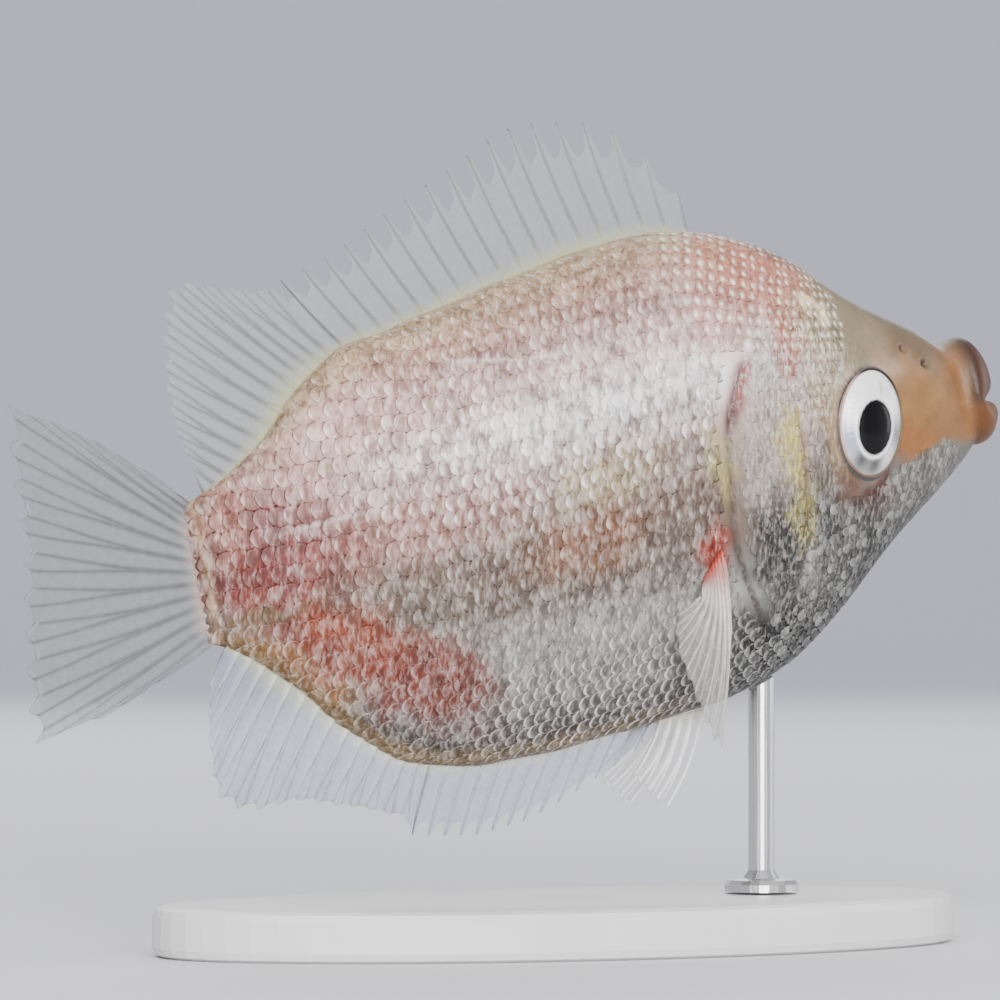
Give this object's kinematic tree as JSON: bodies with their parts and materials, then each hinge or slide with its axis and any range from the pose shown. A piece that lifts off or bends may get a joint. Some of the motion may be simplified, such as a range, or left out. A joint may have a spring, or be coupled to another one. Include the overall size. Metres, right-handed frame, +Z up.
{
  "type": "kissing gourami fish model on a display stand",
  "caption": "Life-size still model of a pale pink and silver kissing gourami, nose raised and fins spread, on one rod over a plain oval base.",
  "frame": {"origin": "on the table under the middle of the whole model, nose to tail and side to side", "axes": "+X towards the fish's nose, +Y towards the fish's left side, +Z up"},
  "size_m": [0.1305, 0.052, 0.0999],
  "materials": {
    "skin": "pearly",
    "gill_cover": "pearly",
    "lip": "satin",
    "eye": "polished",
    "fin": "satin",
    "stand_base": "satin",
    "stand_rod": "brushed"
  },
  "bodies": {
    "root": {"head": "skin", "torso": "skin", "tail_stem": "skin", "gill_cover_left": "gill_cover", "gill_cover_right": "gill_cover", "upper_lip": "lip", "lower_lip": "lip", "eye_left": "eye", "eye_right": "eye", "dorsal_fin_spiny": "fin", "dorsal_fin_soft": "fin", "anal_fin_spiny": "fin", "anal_fin_soft": "fin", "caudal_fin": "fin", "pectoral_fin_left": "fin", "pectoral_fin_right": "fin", "pelvic_fin_left": "fin", "pelvic_fin_right": "fin", "stand_base": "stand_base", "stand_rod": "stand_rod"}
  },
  "joints": []
}
